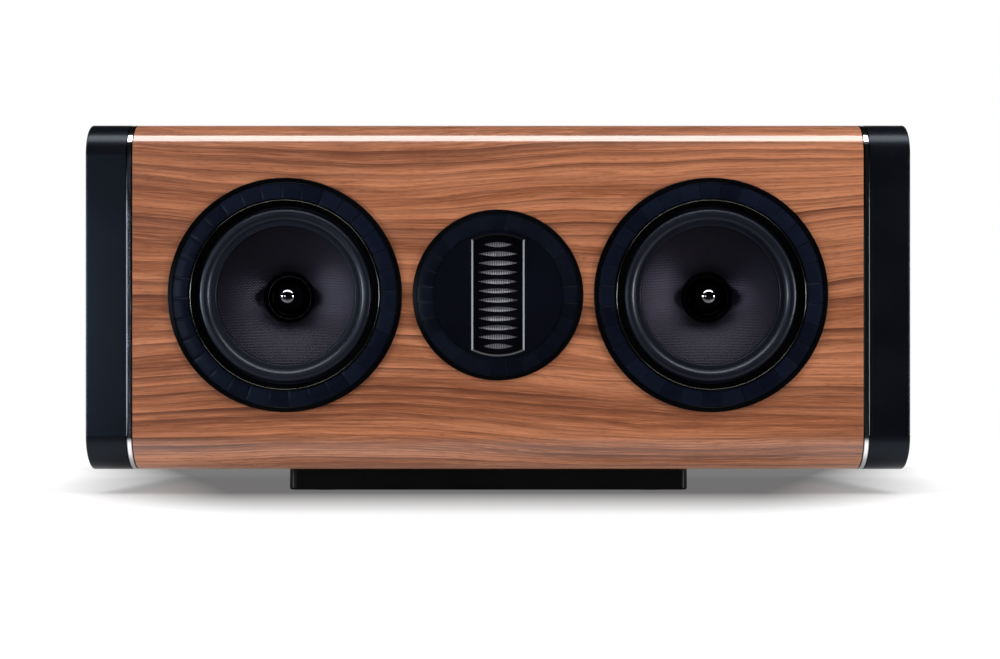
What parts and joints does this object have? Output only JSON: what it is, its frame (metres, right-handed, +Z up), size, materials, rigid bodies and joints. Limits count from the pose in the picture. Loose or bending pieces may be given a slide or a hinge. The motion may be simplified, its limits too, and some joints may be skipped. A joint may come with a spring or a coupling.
{
  "type": "center channel speaker",
  "caption": "Long low loudspeaker with woven cone woofers either side of a pleated-film tweeter, in a gloss walnut cabinet with black end cheeks on a plinth.",
  "frame": {"origin": "on the floor under the middle of the cabinet and its driver rings", "axes": "+X to the right of a listener facing the front, +Y to the back, +Z up"},
  "size_m": [0.57, 0.303, 0.2588],
  "materials": {
    "walnut_wrap": "walnut veneer under clear gloss lacquer",
    "black_board": "satin black lacquered board",
    "raw_board": "raw fibreboard",
    "lining_felt": "grey damping felt",
    "black_cheek": "satin black lacquer",
    "bright_trim": "polished bright metal",
    "black_plinth": "black lacquer",
    "foot_rubber": "matte rubber",
    "screw_steel": "blackened steel",
    "basket_alloy": "black coated cast alloy",
    "gasket_foam": "closed-cell foam",
    "surround_rubber": "satin rubber",
    "woven_cone": "woven fibre, satin",
    "former_film": "pale foil on film",
    "copper_wire": "enamelled copper wire",
    "spider_cloth": "impregnated cloth",
    "motor_steel": "black plated steel",
    "ferrite": "sintered ferrite",
    "plug_black": "polished black",
    "ring_black": "blue-black satin tiles between gloss edges",
    "pole_plate_black": "black lacquer",
    "film_foil": "foil on film",
    "moulded_black": "fine moulded grain",
    "post_brass": "gold plated",
    "cap_red": "clear red cap",
    "cap_black": "black cap",
    "board_green": "circuit board",
    "capacitor_sleeve": "yellow film sleeve"
  },
  "bodies": {
    "cabinet": {"back_panel": "black_board", "brace_left": "raw_board", "brace_right": "raw_board", "cabinet_shell": "walnut_wrap", "crossover_board": "board_green", "crossover_capacitors": "capacitor_sleeve", "crossover_chokes": "copper_wire", "end_cheek_left": "black_cheek", "end_cheek_right": "black_cheek", "film_frame": "moulded_black", "front_pole_plate": "pole_plate_black", "lining_left": "lining_felt", "lining_right": "lining_felt", "phase_plug_left": "plug_black", "phase_plug_right": "plug_black", "pleated_film": "film_foil", "plinth": "black_plinth", "plinth_feet": "foot_rubber", "plinth_screws": "screw_steel", "pole_yoke_left": "motor_steel", "pole_yoke_right": "motor_steel", "port_left": "moulded_black", "port_right": "moulded_black", "post_nuts": "screw_steel", "post_stem_left": "post_brass", "post_stem_right": "post_brass", "rear_pole_plate": "motor_steel", "ring_magnet_left": "ferrite", "ring_magnet_right": "ferrite", "terminal_cup": "moulded_black", "top_plate_left": "motor_steel", "top_plate_right": "motor_steel", "trim_band_left": "bright_trim", "trim_band_right": "bright_trim", "trim_ring_left": "ring_black", "trim_ring_right": "ring_black", "tweeter_cup": "moulded_black", "tweeter_magnet_left": "ferrite", "tweeter_magnet_right": "ferrite", "tweeter_plate": "ring_black", "woofer_basket_left": "basket_alloy", "woofer_basket_right": "basket_alloy", "woofer_gasket_left": "gasket_foam", "woofer_gasket_right": "gasket_foam", "woofer_screws": "screw_steel", "woofer_surround_left": "surround_rubber", "woofer_surround_right": "surround_rubber"},
    "cone_left": {"woofer_cone_left": "woven_cone", "coil_former_left": "former_film", "voice_coil_left": "copper_wire", "spider_left": "spider_cloth"},
    "washer_left": {"post_washer_left": "post_brass"},
    "cap_left": {"post_cap_left": "cap_red"},
    "cone_right": {"woofer_cone_right": "woven_cone", "coil_former_right": "former_film", "voice_coil_right": "copper_wire", "spider_right": "spider_cloth"},
    "washer_right": {"post_washer_right": "post_brass"},
    "cap_right": {"post_cap_right": "cap_black"}
  },
  "joints": [
    {"name": "cone_travel_left", "type": "slide", "parent": "cabinet", "child": "cone_left", "axis": [0, -1, 0], "range_m": [-0.004, 0.004], "stiffness_N_per_m": 1000, "deforming": ["woofer_surround_left", "spider_left"]},
    {"name": "post_lift_left", "type": "slide", "parent": "cabinet", "child": "washer_left", "axis": [0, 1, 0], "range_m": [0, 0.00375]},
    {"name": "post_turn_left", "type": "hinge", "parent": "washer_left", "child": "cap_left", "pos_m": [-0.018, 0.135, 0.1378], "axis": [0, 1, 0], "range_deg": [0, 1080]},
    {"name": "cone_travel_right", "type": "slide", "parent": "cabinet", "child": "cone_right", "axis": [0, -1, 0], "range_m": [-0.004, 0.004], "stiffness_N_per_m": 1000, "deforming": ["woofer_surround_right", "spider_right"]},
    {"name": "post_lift_right", "type": "slide", "parent": "cabinet", "child": "washer_right", "axis": [0, 1, 0], "range_m": [0, 0.00375]},
    {"name": "post_turn_right", "type": "hinge", "parent": "washer_right", "child": "cap_right", "pos_m": [0.018, 0.135, 0.1378], "axis": [0, 1, 0], "range_deg": [0, 1080]}
  ],
  "couplings": [
    {"joint": "post_turn_left", "follows": "post_lift_left", "rad_per_m": 5026.5},
    {"joint": "post_turn_right", "follows": "post_lift_right", "rad_per_m": 5026.5}
  ]
}
